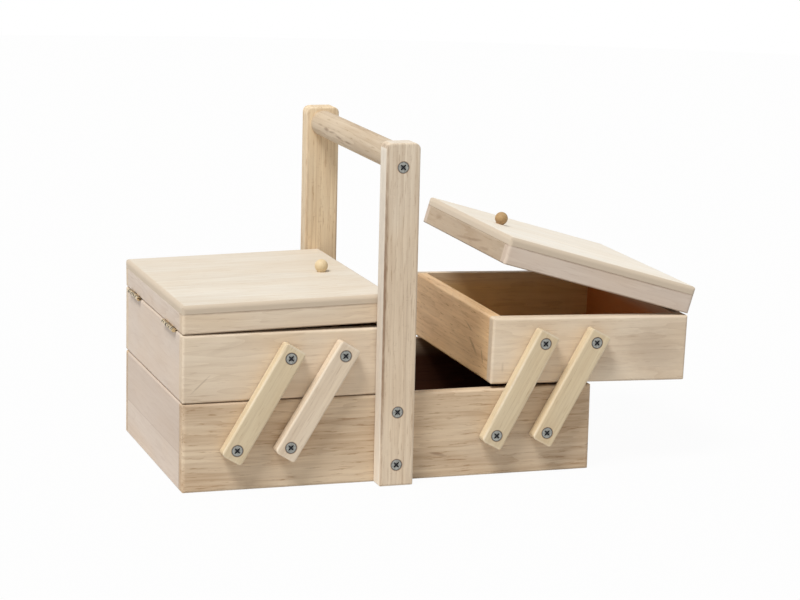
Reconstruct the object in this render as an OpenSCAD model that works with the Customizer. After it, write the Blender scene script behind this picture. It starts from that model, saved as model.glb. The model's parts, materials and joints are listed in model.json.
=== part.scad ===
// Wooden sewing box: an open base, two trays that swing out on wooden links,
// a hinged lid on each tray, and a carrying handle.
// X runs left to right, Y front to back, Z up. The origin is the centre of the base's underside.
// The right tray is drawn swung out with its lid raised, the left tray shut with its lid ajar.

/* [Box] */
// Length of the base box, left to right
box_l = 300; // [285:5:360]
// Width of the base box, front to back
box_w = 180; // [150:5:240]
// Height of the base box
base_h = 62.5; // [56:0.5:80]
// Thickness of the wall boards
wall_t = 8; // [7:0.5:11]
// Thickness of the floor boards
floor_t = 4; // [3:0.5:6]
// Rounding of the base's four upright corners
base_r = 3; // [1:0.2:4]
// Rounding of the other outer board edges
edge_r = 2; // [0.8:0.2:3]

/* [Trays] */
// Height of a tray
tray_h = 47.8; // [42:0.1:60]
// Gap between the two trays when both are shut
middle_gap = 1.4; // [1:0.2:3]
// Gap under a shut tray
seam = 0.3; // [0.2:0.05:0.6]
// Gap between a swung-out tray and the rim under it
rest_gap = 1.2; // [0.3:0.1:3]
// Gap between a tray and each handle upright
side_gap = 0.3; // [0.2:0.05:0.6]
// Angle by which a swung-out tray droops
tray_droop = 1.5; // [0.5:0.1:3]

/* [Lids] */
// Thickness of the lid's top board
panel_t = 6.2; // [5:0.2:9]
// Height of the rails under the top board
rail_h = 13.8; // [10:0.1:20]
// Rounding of the lid's top edges
lid_r = 3; // [1:0.2:4]
// Rounding of the lid's four upright corners
lid_corner_r = 2.6; // [1:0.2:4]
// Gap between a tray and its shut lid
lid_gap = 0.4; // [0.3:0.1:0.8]
// Angle by which the left lid is open
left_lid_open = 1.2; // [0:0.1:10]
// Angle by which the right lid is open
right_lid_open = 14.7; // [0:0.1:60]

/* [Links] */
// Thickness of a link
link_t = 10; // [7:0.5:14]
// Width of a link
link_w = 16.5; // [14:0.5:19]
// Distance from a link's end to its pivot
link_end = 8; // [7:0.5:9]
// Gap between a link and the box wall
link_gap = 0.3; // [0.2:0.05:0.6]
// Sideways reach of the inner link when the tray is shut
link_reach = 38.2; // [32:0.1:42]
// Distance between the two links' pivots on the base
link_spacing = 38; // [34:0.5:42]
// Distance from the end of the base to the outer link's pivot
pivot_inset = 36.7; // [30:0.1:38]
// Height of the base pivots above the ground
base_pivot_z = 30.8; // [26:0.1:36]
// Height of the tray pivots above the tray's underside
tray_pivot_z = 30.8; // [26:0.1:34]
// Radial clearance of a screw in a link
pivot_clear = 0.1; // [0.05:0.01:0.15]
// Radial clearance at the outer link's tray pivot, which takes up the linkage's play
play_clear = 0.3; // [0.28:0.01:0.4]

/* [Handle] */
// Width of an upright
upright_w = 25; // [20:0.5:32]
// Thickness of an upright
upright_t = 14; // [10:0.5:18]
// Height of an upright
upright_h = 241.3; // [235:0.1:300]
// Rounding of the upright's top corners
upright_top_r = 6; // [2:0.5:9]
// Diameter of the handle bar
bar_d = 19; // [16:0.5:22]
// Distance from the upright's top to the bar's axis
bar_drop = 12.3; // [12:0.1:16]
// Distance from the upright's top to the bar's screw, which is below the bar's axis
bar_screw_drop = 17; // [15:0.1:17.5]
// Height of the lower upright screw
low_screw_z = 15.2; // [10:0.1:22]
// Height of the upper upright screw
high_screw_z = 52.8; // [42:0.1:54]

/* [Screws] */
// Diameter of a wood screw's head
screw_head_d = 8; // [6:0.2:9]
// Diameter of a wood screw's shank
screw_d = 4; // [3:0.1:4.6]
// Length of a link screw that is in the wood of the wall
link_grip = 6; // [4:0.1:6.6]
// Length of a base screw that is in the wood of the wall
base_grip = 6.4; // [4:0.1:6.6]
// Length of a bar screw that is in the wood of the bar
bar_grip = 22; // [15:1:35]
// Depth of a screw head under the surface
head_sink = 0.2; // [0.1:0.05:0.5]

/* [Knobs] */
// Diameter of a lid knob
knob_d = 9.5; // [8:0.5:14]
// Diameter of the knob's foot
knob_foot_d = 6; // [5:0.2:7.4]
// Height of the knob's centre above the lid
knob_rise = 4.4; // [4:0.1:8]
// Distance from the lid's free edge to the knob
knob_inset = 25; // [15:0.5:60]
// Diameter of the knob's screw
knob_screw_d = 2.6; // [2:0.1:3]
// Diameter of the knob screw's head
knob_screw_head_d = 5.6; // [5:0.2:8]
// Length of the knob screw that is in the knob
knob_grip = 6; // [4:0.5:7]

/* [Hinges] */
// Length of a hinge
hinge_l = 32; // [24:1:50]
// Distance from the middle of the box to a hinge's centre
hinge_y = 55; // [35:1:62]
// Width of a hinge leaf let into the edge of a board
leaf_w = 6; // [5:0.5:7]
// Thickness of a hinge leaf
leaf_t = 0.8; // [0.6:0.1:1]
// Diameter of a hinge knuckle
knuckle_d = 3; // [2.6:0.1:4]
// Diameter of a hinge pin
pin_d = 1.4; // [1:0.1:1.6]
// Gap between neighbouring knuckles
knuckle_gap = 0.3; // [0.2:0.05:0.5]
// Diameter of a hinge nail
nail_d = 1; // [0.8:0.1:1.4]
// Diameter of a hinge nail's head
nail_head_d = 2.2; // [1.8:0.1:3]
// Length of a hinge nail in the wood
nail_l = 8; // [4:0.5:10]

/* [Hidden] */
$fn = 48;
// Overshoot of a cut past the face it opens
cut = 1;
// Small rounding where two boards meet
glue_r = 0.4;
// Rounding of a link's long edges and of an upright's other edges
link_r = 1.6;
link_corner_r = 3;
upright_r = 1.8;
// Rounding of the rails' lower edges
rail_r = 1.2;
// Length of a screw's point and width of its end, as shares of the shank
tip_share = 0.8;
tip_end_share = 0.2;
// Cross recess in a screw head
cross_w = 0.9;
cross_depth = 1.2;
cross_share = 0.6;
// Running clearance of a hinge pin in the lid's knuckles
pin_clear = 0.05;
// Gap between a hinge knuckle and the wood beside it
knuckle_relief = 0.1;
// Play between the two leaves of a shut hinge and the pin's axis
leaf_play = 0.1;
// Thickness of a hinge nail's head and of a knob screw's head
nail_head_t = 0.6;
knob_screw_head_t = 1.8;
// Knuckles on one hinge, of which the tray has every other one, the first and last included
knuckles = 5;
// Nails through one hinge leaf
leaf_nails = 3;

pine = [0.86, 0.77, 0.63];
pale_pine = [0.91, 0.84, 0.72];
beech = [0.88, 0.76, 0.55];
brass = [0.80, 0.68, 0.38];
steel = [0.70, 0.70, 0.71];

// Boxes and lids
tray_l = (box_l - middle_gap) / 2;
tray_w = box_w - 2 * side_gap;
shut_z = base_h + seam;
lid_h = rail_h + panel_t;

// Screws
screw_cone_h = (screw_head_d - screw_d) / 2;
screw_tip = screw_d * tip_share;
link_screw_l = link_t - head_sink + link_gap + link_grip;
base_screw_l = upright_t - head_sink + base_grip;
bar_screw_l = upright_t - head_sink + bar_grip;
bar_z = upright_h - bar_drop;
bar_screw_z = upright_h - bar_screw_drop;
link_face = box_w / 2 + link_gap + link_t;

// Links when the tray is shut: where the pivots are and how long the links must be
outer_x = box_l / 2 - pivot_inset;
inner_x = outer_x - link_spacing;
rise = shut_z + tray_pivot_z - base_pivot_z;
inner_len = sqrt(link_reach * link_reach + rise * rise);
inner_shut = atan2(rise, -link_reach);
tray_inner_pivot_x = inner_x - link_reach - middle_gap / 2;

// The swung-out tray lies rest_gap above the rim of the base's end, sloping by tray_droop
function out_pivot_z(x) = base_h + rest_gap + tray_pivot_z / cos(tray_droop)
    + (box_l / 2 - x) * tan(tray_droop);
function out_pivot_x(z) = inner_x + sqrt(inner_len * inner_len - (z - base_pivot_z) * (z - base_pivot_z));
function settled_x(x, turns) = turns == 0 ? x : settled_x(out_pivot_x(out_pivot_z(x)), turns - 1);
inner_out_x = settled_x(inner_x + link_reach, 12);
inner_out_z = out_pivot_z(inner_out_x);
inner_out = atan2(inner_out_z - base_pivot_z, inner_out_x - inner_x);

// The outer link's reach that brings the tray level when shut and to its droop when out
span = link_spacing + link_reach;
far_x = inner_out_x - outer_x + span * cos(tray_droop);
far_z = inner_out_z - base_pivot_z - span * sin(tray_droop);
outer_reach = (far_x * far_x + far_z * far_z - rise * rise)
    / (2 * (far_x * cos(tray_droop) - far_z * sin(tray_droop)));
outer_len = sqrt(outer_reach * outer_reach + rise * rise);
outer_shut = atan2(rise, -outer_reach);
outer_out = atan2(far_z + outer_reach * sin(tray_droop), far_x - outer_reach * cos(tray_droop));
tray_pivot_gap = span - outer_reach;
tray_outer_pivot_x = tray_inner_pivot_x + tray_pivot_gap;

// Corner of the swung-out tray that is nearest the handle
tray_out_x = inner_out_x - tray_inner_pivot_x * cos(tray_droop) - tray_pivot_z * sin(tray_droop);
tray_out_z = inner_out_z + tray_inner_pivot_x * sin(tray_droop) - tray_pivot_z * cos(tray_droop);

// Hinges
pin_out = knuckle_d / 2 + knuckle_relief;
pin_z = tray_h + lid_gap / 2;
knuckle_pitch = hinge_l / knuckles;
nail_x = -pin_out - leaf_w / 2;
nail_pitch = hinge_l / leaf_nails;

function nail_y(i) = (i + 0.5) * nail_pitch - hinge_l / 2;

// One rounded-off corner, as a shape to cut away
module corner_cut(r) {
    difference() {
        translate([-cut, -cut]) square(r + cut);
        translate([r, r]) circle(r);
    }
}

// Rectangle with its two low and its two high corners rounded
module soft_rect(a, b, low, high) {
    difference() {
        square([a, b]);
        corner_cut(low);
        translate([a, 0]) mirror([1, 0]) corner_cut(low);
        translate([0, b]) mirror([0, 1]) corner_cut(high);
        translate([a, b]) rotate(180) corner_cut(high);
    }
}

// Block from x = 0 with y centred, all outer edges rounded
module soft_block(l, w, h, low, high, side) {
    intersection() {
        translate([0, w / 2, 0]) rotate([90, 0, 0]) linear_extrude(w) soft_rect(l, h, low, high);
        translate([0, -w / 2, 0]) rotate([90, 0, 90]) linear_extrude(l) soft_rect(w, h, low, high);
        translate([0, -w / 2, 0]) linear_extrude(h) soft_rect(l, w, side, side);
    }
}

// The four boards round a box are slices of its rounded block
module front_slice(l, w, h, t, low, high, side) {
    intersection() {
        soft_block(l, w, h, low, high, side);
        translate([0, -w / 2, 0]) cube([l, t, h]);
    }
}

module end_slice(l, w, h, t, low, high, side) {
    intersection() {
        soft_block(l, w, h, low, high, side);
        translate([0, t - w / 2, 0]) cube([t, w - 2 * t, h]);
    }
}

// Countersunk wood screw that points along +Z, its head's face at z = 0
module wood_screw(length) {
    color(steel) difference() {
        union() {
            cylinder(d1 = screw_head_d, d2 = screw_d, h = screw_cone_h);
            cylinder(d = screw_d, h = length - screw_tip);
            translate([0, 0, length - screw_tip])
                cylinder(d1 = screw_d, d2 = screw_d * tip_end_share, h = screw_tip);
        }
        for (turn = [0, 90])
            rotate(turn + 45)
                cube([screw_head_d * cross_share, cross_w, 2 * cross_depth], center = true);
    }
}

// Hole for a countersunk screw through a board whose face is at z = 0
module screw_hole(depth, clear) {
    translate([0, 0, -cut]) cylinder(d = screw_head_d + 2 * clear, h = head_sink + cut);
    translate([0, 0, head_sink])
        cylinder(d1 = screw_head_d + 2 * clear, d2 = screw_d + 2 * clear, h = screw_cone_h);
    cylinder(d = screw_d + 2 * clear, h = depth + cut);
}

// Turn a piece that points along +Z so that it points from the front towards the back
module facing_back() {
    rotate([-90, 0, 0]) children();
}

module front_and_back() {
    children();
    mirror([0, 1, 0]) children();
}

// Base box
module at_base() {
    translate([-box_l / 2, 0, 0]) children();
}

module base_screw_holes() {
    for (x = [-outer_x, -inner_x, inner_x, outer_x])
        translate([x, -box_w / 2 - cut, base_pivot_z])
            facing_back() cylinder(d = screw_d, h = link_grip + cut);
    for (z = [low_screw_z, high_screw_z])
        translate([0, -box_w / 2 - cut, z])
            facing_back() cylinder(d = screw_d, h = base_grip + cut);
}

module base_long_wall() {
    color(pine) difference() {
        at_base() front_slice(box_l, box_w, base_h, wall_t, edge_r, edge_r, base_r);
        base_screw_holes();
    }
}

module base_end() {
    color(pine) at_base() end_slice(box_l, box_w, base_h, wall_t, edge_r, edge_r, base_r);
}

module base_floor() {
    color(pale_pine) translate([wall_t - box_l / 2, wall_t - box_w / 2, 0])
        cube([box_l - 2 * wall_t, box_w - 2 * wall_t, floor_t]);
}

module base_link_screws() {
    front_and_back() for (x = [-outer_x, -inner_x, inner_x, outer_x])
        translate([x, head_sink - link_face, base_pivot_z]) facing_back() wood_screw(link_screw_l);
}

// Handle
module upright_front() {
    outer_y = -box_w / 2 - upright_t;
    color(pine) difference() {
        translate([-upright_w / 2, 0, 0]) intersection() {
            translate([0, outer_y + upright_t, 0]) rotate([90, 0, 0])
                linear_extrude(upright_t) soft_rect(upright_w, upright_h, upright_r, upright_top_r);
            translate([0, outer_y, 0]) linear_extrude(upright_h)
                soft_rect(upright_w, upright_t, upright_r, upright_r);
            translate([0, outer_y, 0]) rotate([90, 0, 90])
                linear_extrude(upright_w) soft_rect(upright_t, upright_h, upright_r, upright_r);
        }
        for (z = [low_screw_z, high_screw_z, bar_screw_z])
            translate([0, outer_y, z]) facing_back() screw_hole(upright_t, 0);
    }
}

module upright_screws() {
    front_and_back() for (z = [low_screw_z, high_screw_z])
        translate([0, head_sink - box_w / 2 - upright_t, z]) facing_back() wood_screw(base_screw_l);
}

module handle_bar() {
    color(pale_pine) difference() {
        translate([0, -box_w / 2, bar_z]) facing_back() cylinder(d = bar_d, h = box_w);
        front_and_back() translate([0, -box_w / 2 - cut, bar_screw_z])
            facing_back() cylinder(d = screw_d, h = bar_grip + cut);
    }
}

module handle_bar_screws() {
    front_and_back() translate([0, head_sink - box_w / 2 - upright_t, bar_screw_z])
        facing_back() wood_screw(bar_screw_l);
}

// Link on the front wall, from its base pivot at the origin along +X to its tray pivot
module link(length, tray_clear) {
    total = length + 2 * link_end;
    color(pine) difference() {
        translate([-link_end, -link_face, -link_w / 2]) intersection() {
            translate([0, link_t, 0]) rotate([90, 0, 0])
                linear_extrude(link_t) soft_rect(total, link_w, link_corner_r, link_corner_r);
            rotate([90, 0, 90]) linear_extrude(total) soft_rect(link_t, link_w, link_r, link_r);
        }
        translate([0, -link_face, 0]) facing_back() screw_hole(link_t, pivot_clear);
        translate([length, -link_face, 0]) facing_back() screw_hole(link_t, tray_clear);
    }
}

// Links of the right side: shut or out
module inner_link(angle) {
    translate([inner_x, 0, base_pivot_z]) rotate([0, -angle, 0]) link(inner_len, pivot_clear);
}

module outer_link(angle) {
    translate([outer_x, 0, base_pivot_z]) rotate([0, -angle, 0]) link(outer_len, play_clear);
}

module to_back() {
    mirror([0, 1, 0]) children();
}

module to_left() {
    mirror([1, 0, 0]) children();
}

// Tray, drawn for the right side from its corner nearest the handle
module tray_long_wall() {
    color(pine) difference() {
        front_slice(tray_l, tray_w, tray_h, wall_t, edge_r, edge_r, edge_r);
        for (x = [tray_inner_pivot_x, tray_outer_pivot_x])
            translate([x, -tray_w / 2 - cut, tray_pivot_z])
                facing_back() cylinder(d = screw_d, h = link_grip - side_gap + cut);
    }
}

module tray_inner_end() {
    color(pine) end_slice(tray_l, tray_w, tray_h, wall_t, edge_r, edge_r, edge_r);
}

module tray_outer_end() {
    color(pine) difference() {
        translate([tray_l, 0, 0]) mirror([1, 0, 0])
            end_slice(tray_l, tray_w, tray_h, wall_t, edge_r, edge_r, edge_r);
        at_hinge() leaf_pockets();
    }
}

module tray_floor() {
    color(pale_pine) translate([wall_t, wall_t - tray_w / 2, 0])
        cube([tray_l - 2 * wall_t, tray_w - 2 * wall_t, floor_t]);
}

module tray_link_screws() {
    front_and_back() for (x = [tray_inner_pivot_x, tray_outer_pivot_x])
        translate([x, head_sink - link_face, tray_pivot_z]) facing_back() wood_screw(link_screw_l);
}

// Hinges: the pin's axis is at the origin, the wood's face at x = -pin_out
module at_hinge() {
    translate([tray_l + pin_out, 0, pin_z]) children();
}

module both_hinges() {
    for (y = [-hinge_y, hinge_y])
        translate([0, y, 0]) children();
}

// Pocket for a leaf in the upper edge of a board, with the nails' holes
module leaf_pockets() {
    both_hinges() {
        translate([-pin_out - leaf_w, -hinge_l / 2, -leaf_play - leaf_t])
            cube([leaf_w + cut, hinge_l, leaf_t + cut]);
        for (i = [0 : leaf_nails - 1])
            translate([nail_x, nail_y(i), -leaf_play - leaf_t - nail_l])
                cylinder(d = nail_d, h = nail_l + cut);
    }
}

// Leaf below the pin, with the knuckles numbered first, first + 2 and so on
module leaf(first, bore_d) {
    color(brass) difference() {
        union() {
            translate([-pin_out - leaf_w, -hinge_l / 2, -leaf_play - leaf_t])
                cube([leaf_w + pin_out, hinge_l, leaf_t]);
            for (i = [first : 2 : knuckles - 1])
                translate([0, i * knuckle_pitch - hinge_l / 2, 0])
                    facing_back() cylinder(d = knuckle_d, h = knuckle_pitch);
        }
        for (i = [1 - first : 2 : knuckles - 1])
            translate([-pin_out, i * knuckle_pitch - hinge_l / 2 - knuckle_gap, -pin_out - knuckle_gap])
                cube([2 * pin_out, knuckle_pitch + 2 * knuckle_gap, 2 * pin_out + cut]);
        translate([0, -hinge_l / 2 - cut, 0])
            facing_back() cylinder(d = bore_d, h = hinge_l + 2 * cut);
        nail_set();
    }
}

// Nails down through one leaf, their heads flush with it
module nail_set() {
    for (i = [0 : leaf_nails - 1])
        translate([nail_x, nail_y(i), -leaf_play]) mirror([0, 0, 1]) nail();
}

// Nail that points along +Z, with the face of its countersunk head at z = 0
module nail() {
    color(brass) {
        cylinder(d1 = nail_head_d, d2 = nail_d, h = nail_head_t);
        cylinder(d = nail_d, h = leaf_t + nail_l);
    }
}

module tray_hinge_leaves() {
    at_hinge() both_hinges() leaf(0, pin_d);
}

module hinge_pins() {
    color(brass) at_hinge() both_hinges()
        translate([0, -hinge_l / 2, 0]) facing_back() cylinder(d = pin_d, h = hinge_l);
}

module tray_hinge_nails() {
    at_hinge() both_hinges() nail_set();
}

// Lid, drawn shut for the right side, with the hinge pin's axis at the origin
module at_lid() {
    translate([-pin_out - tray_l, 0, lid_gap / 2]) children();
}

module rails_block() {
    soft_block(tray_l, tray_w, rail_h, rail_r, glue_r, lid_corner_r);
}

module lid_panel() {
    color(pale_pine) at_lid() translate([0, 0, rail_h]) difference() {
        soft_block(tray_l, tray_w, panel_t, glue_r, lid_r, lid_corner_r);
        translate([knob_inset, 0, -cut]) cylinder(d = knob_screw_d, h = panel_t + 2 * cut);
    }
}

module lid_long_rail() {
    color(pine) at_lid() intersection() {
        rails_block();
        translate([0, -tray_w / 2, 0]) cube([tray_l, wall_t, rail_h]);
    }
}

module lid_short_rail(x) {
    color(pine) at_lid() intersection() {
        rails_block();
        translate([x, wall_t - tray_w / 2, 0]) cube([wall_t, tray_w - 2 * wall_t, rail_h]);
    }
}

module lid_outer_rail() {
    difference() {
        lid_short_rail(tray_l - wall_t);
        mirror([0, 0, 1]) leaf_pockets();
    }
}

module lid_hinge_leaves() {
    mirror([0, 0, 1]) both_hinges() leaf(1, pin_d + 2 * pin_clear);
}

module lid_hinge_nails() {
    mirror([0, 0, 1]) both_hinges() nail_set();
}

module at_knob() {
    at_lid() translate([knob_inset, 0, lid_h]) children();
}

module lid_knob() {
    color(beech) at_knob() difference() {
        union() {
            translate([0, 0, knob_rise]) sphere(d = knob_d);
            cylinder(d = knob_foot_d, h = knob_rise);
        }
        translate([0, 0, -cut]) cylinder(d = knob_screw_d, h = knob_grip + cut);
    }
}

module lid_knob_screw() {
    color(steel) at_knob() translate([0, 0, -panel_t]) {
        cylinder(d = knob_screw_d, h = panel_t + knob_grip);
        translate([0, 0, -knob_screw_head_t]) cylinder(d = knob_screw_head_d, h = knob_screw_head_t);
    }
}

// Where the two trays and the two lids are
module right_tray() {
    translate([tray_out_x, 0, tray_out_z]) rotate([0, tray_droop, 0]) children();
}

module left_tray() {
    to_left() translate([middle_gap / 2, 0, shut_z]) children();
}

module right_lid() {
    right_tray() at_hinge() rotate([0, right_lid_open, 0]) children();
}

module left_lid() {
    left_tray() at_hinge() rotate([0, left_lid_open, 0]) children();
}

base_long_wall();  // base_front_wall
to_back() base_long_wall();  // base_back_wall
base_end();  // base_left_end
to_left() base_end();  // base_right_end
base_floor();
upright_front();
to_back() upright_front();  // upright_back
handle_bar();
base_link_screws();
upright_screws();
handle_bar_screws();

to_left() inner_link(inner_shut);  // left_inner_link_front
to_left() to_back() inner_link(inner_shut);  // left_inner_link_back
to_left() outer_link(outer_shut);  // left_outer_link_front
to_left() to_back() outer_link(outer_shut);  // left_outer_link_back
inner_link(inner_out);  // right_inner_link_front
to_back() inner_link(inner_out);  // right_inner_link_back
outer_link(outer_out);  // right_outer_link_front
to_back() outer_link(outer_out);  // right_outer_link_back

left_tray() tray_long_wall();  // left_tray_front_wall
left_tray() to_back() tray_long_wall();  // left_tray_back_wall
left_tray() tray_outer_end();  // left_tray_outer_end
left_tray() tray_inner_end();  // left_tray_inner_end
left_tray() tray_floor();  // left_tray_floor
left_tray() tray_link_screws();  // left_tray_link_screws
left_tray() tray_hinge_leaves();  // left_tray_hinge_leaves
left_tray() hinge_pins();  // left_hinge_pins
left_tray() tray_hinge_nails();  // left_tray_hinge_nails

right_tray() tray_long_wall();  // right_tray_front_wall
right_tray() to_back() tray_long_wall();  // right_tray_back_wall
right_tray() tray_outer_end();  // right_tray_outer_end
right_tray() tray_inner_end();  // right_tray_inner_end
right_tray() tray_floor();  // right_tray_floor
right_tray() tray_link_screws();  // right_tray_link_screws
right_tray() tray_hinge_leaves();  // right_tray_hinge_leaves
right_tray() hinge_pins();  // right_hinge_pins
right_tray() tray_hinge_nails();  // right_tray_hinge_nails

left_lid() lid_panel();  // left_lid_panel
left_lid() lid_long_rail();  // left_lid_front_rail
left_lid() to_back() lid_long_rail();  // left_lid_back_rail
left_lid() lid_outer_rail();  // left_lid_outer_rail
left_lid() lid_short_rail(0);  // left_lid_inner_rail
left_lid() lid_knob();  // left_lid_knob
left_lid() lid_knob_screw();  // left_lid_knob_screw
left_lid() lid_hinge_leaves();  // left_lid_hinge_leaves
left_lid() lid_hinge_nails();  // left_lid_hinge_nails

right_lid() lid_panel();  // right_lid_panel
right_lid() lid_long_rail();  // right_lid_front_rail
right_lid() to_back() lid_long_rail();  // right_lid_back_rail
right_lid() lid_outer_rail();  // right_lid_outer_rail
right_lid() lid_short_rail(0);  // right_lid_inner_rail
right_lid() lid_knob();  // right_lid_knob
right_lid() lid_knob_screw();  // right_lid_knob_screw
right_lid() lid_hinge_leaves();  // right_lid_hinge_leaves
right_lid() lid_hinge_nails();  // right_lid_hinge_nails
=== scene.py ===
"""Looks of the wooden cantilever sewing box: bare sanded wood, zinc-plated screws and brass hinges."""

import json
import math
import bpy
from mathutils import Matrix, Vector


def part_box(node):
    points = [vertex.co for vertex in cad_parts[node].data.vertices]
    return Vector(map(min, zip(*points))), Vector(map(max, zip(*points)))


bl_info = {
    "name": "Cantilever Sewing Box Looks",
    "version": (1, 0, 0),
    "blender": (4, 5, 0),
    "location": "View3D > Sidebar > Sewing Box",
    "description": "Finishes the boards, screws and hinges of a wooden cantilever sewing box",
    "category": "Material",
}

import bpy
from mathutils import Matrix, Vector

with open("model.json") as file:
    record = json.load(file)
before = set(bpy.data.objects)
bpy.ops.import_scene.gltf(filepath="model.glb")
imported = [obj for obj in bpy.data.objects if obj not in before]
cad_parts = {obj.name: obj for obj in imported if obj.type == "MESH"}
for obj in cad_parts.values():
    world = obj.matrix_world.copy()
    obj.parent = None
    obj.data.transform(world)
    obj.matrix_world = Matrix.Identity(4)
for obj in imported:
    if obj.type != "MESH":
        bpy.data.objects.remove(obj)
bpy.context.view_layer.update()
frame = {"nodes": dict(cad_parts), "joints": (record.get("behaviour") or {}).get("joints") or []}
NODES = frame["nodes"]
JOINTS = {joint["name"]: joint for joint in frame["joints"]}
MM = 0.001
SIDES = ("left", "right")


def joint_span(name):
    """How far a joint turns from one limit to the other, in radians."""
    low, high = JOINTS[name]["range_deg"]
    return math.radians(high - low)


# How far the raised tray hangs down at its outer end
DROOP = joint_span("right_tray_swing") - joint_span("right_tray_level")
# How far each lid is open at rest
LEFT_AJAR = -math.radians(JOINTS["left_lid_hinge"]["range_deg"][0])
RIGHT_RAISED = -math.radians(JOINTS["right_lid_hinge"]["range_deg"][0])

# How far each tray and lid is turned about Y at rest
TURNS = {
    "left_tray": 0.0,
    "right_tray": DROOP,
    "left_lid": -LEFT_AJAR,
    "right_lid": DROOP + RIGHT_RAISED,
}

# The three directions of a board at rest: along the grain, across its width and through it
ALONG_X_STANDING = ((1, 0, 0), (0, 0, 1), (0, -1, 0))
ALONG_X_LYING = ((1, 0, 0), (0, 1, 0), (0, 0, 1))
ALONG_Y_STANDING = ((0, 1, 0), (0, 0, 1), (1, 0, 0))
UPRIGHT = ((0, 0, 1), (1, 0, 0), (0, 1, 0))

# Half depth of a soft and of a crisp mark in a board, in millimetres
SOFT_DEPTH = 20
CRISP_DEPTH = 40
# Half width of the painted shade line along a board's edge, in the gap to the next part, in millimetres
GAP_SHADE_WIDTH = 1.3
# Height of the grain's bumps, in metres
BUMP_DEPTH = 0.0002
# How far a board's roughness goes below and above its setting
SMOOTHER, ROUGHER = 0.06, 0.12
NOWHERE = (0.0, 0.0, 0.0)
WHITE = (1.0, 1.0, 1.0, 1.0)


def colour_property(label, words, value):
    """A colour that a user can change."""
    return bpy.props.FloatVectorProperty(
        name=label, description=words, default=value, min=0.0, max=1.0, size=3, subtype="COLOR"
    )


def share_property(label, words, value):
    """A share from 0 to 1 that a user can change."""
    return bpy.props.FloatProperty(
        name=label, description=words, default=value, min=0.0, max=1.0, subtype="FACTOR"
    )


class WoodLook(bpy.types.PropertyGroup):
    """Colours of the boards as plain wood and its grain, then of marks, painted shade of the insides, and
    paler edges.
    """

    cream: colour_property("Cream", "Pale board on the left lid's top", (0.795, 0.735, 0.635))
    cream_grain: colour_property("Cream Grain", "Grain of the left lid's top", (0.655, 0.545, 0.41))
    # On the front upright's sides this tone is a painted highlight, where the light falls on them
    ivory: colour_property("Ivory", "Right lid's top and the front upright's sides", (0.93, 0.875, 0.775))
    ivory_grain: colour_property("Ivory Grain", "Grain of the right lid's top", (0.80, 0.71, 0.58))
    sand: colour_property("Sand", "Trays, front upright and the left lid's rails", (0.855, 0.725, 0.56))
    sand_grain: colour_property("Sand Grain", "Grain of the sand boards", (0.56, 0.42, 0.29))
    tan: colour_property("Tan", "Browner boards of the base and the floors", (0.765, 0.615, 0.44))
    tan_grain: colour_property("Tan Grain", "Grain of the browner boards", (0.41, 0.26, 0.145))
    amber: colour_property("Amber", "Warm boards of the trays' inner ends", (0.97, 0.68, 0.38))
    amber_grain: colour_property("Amber Grain", "Grain of the warm boards", (0.42, 0.22, 0.10))
    oat: colour_property("Oat", "Greyer handle bar and right lid's inner rail", (0.69, 0.575, 0.43))
    oat_grain: colour_property("Oat Grain", "Grain of the greyer boards", (0.44, 0.32, 0.205))
    cut_side: colour_property("Cut Side", "Browner sides of the lids' top boards", (0.62, 0.51, 0.385))
    wheat: colour_property("Wheat", "Warm back upright", (0.96, 0.80, 0.565))
    wheat_grain: colour_property("Wheat Grain", "Grain of the back upright", (0.62, 0.43, 0.25))
    rose: colour_property("Rose", "Greyish pink ends and right lid's long rails", (0.74, 0.63, 0.53))
    rose_grain: colour_property("Rose Grain", "Grain of the greyish pink boards", (0.56, 0.44, 0.35))
    straw: colour_property("Straw", "Yellowish wood of all but the left inner links", (0.775, 0.65, 0.445))
    straw_grain: colour_property("Straw Grain", "Grain of the links", (0.52, 0.38, 0.225))
    honey: colour_property("Honey", "Turned wood of the left lid's knob", (0.80, 0.67, 0.44))
    honey_grain: colour_property("Honey Grain", "Grain of the left lid's knob", (0.66, 0.48, 0.27))
    # The right knob's darker tone is partly painted shade
    caramel: colour_property("Caramel", "Darker wood of the right lid's knob", (0.48, 0.32, 0.155))
    caramel_grain: colour_property("Caramel Grain", "Grain of the right lid's knob", (0.38, 0.23, 0.10))
    # This brown is for real marks in the wood and is also laid as painted shade by marks, gap lines and
    # screw rings
    stain_and_shade: colour_property("Stain", "Small brown marks in the wood", (0.24, 0.14, 0.08))
    # The next three tones are painted shade: on the inner faces of the trays, inside the trays' outer ends,
    # and inside the base
    inside: colour_property("Inside", "Warm tone of the wood inside the trays", (1.0, 0.80, 0.42))
    shade: colour_property("Shade", "Deep tone inside the trays' outer ends", (0.78, 0.33, 0.10))
    painted_base_shade: colour_property("Depths", "Deep tone of the wood inside the base", (0.09, 0.035, 0.018))
    # Paler edges: partly sanded wood, partly a painted highlight along them
    worn: colour_property("Worn", "Paler wood of sanded edges", (0.93, 0.84, 0.70))
    roughness: share_property("Roughness", "Roughness of bare sanded wood", 0.62)


class MetalLook(bpy.types.PropertyGroup):
    """Colours of the screws and hinges."""

    steel: colour_property("Steel", "Zinc-plated screws", (0.37, 0.37, 0.34))
    # Painted shade in the screws' recesses and round their heads
    recess_shade: colour_property("Recess", "Dark inside of the screws' recesses", (0.03, 0.03, 0.035))
    brass: colour_property("Brass", "Plated hinges", (0.70, 0.56, 0.34))
    tarnish: colour_property("Tarnish", "Dull patches on the brass", (0.055, 0.035, 0.02))


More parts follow.
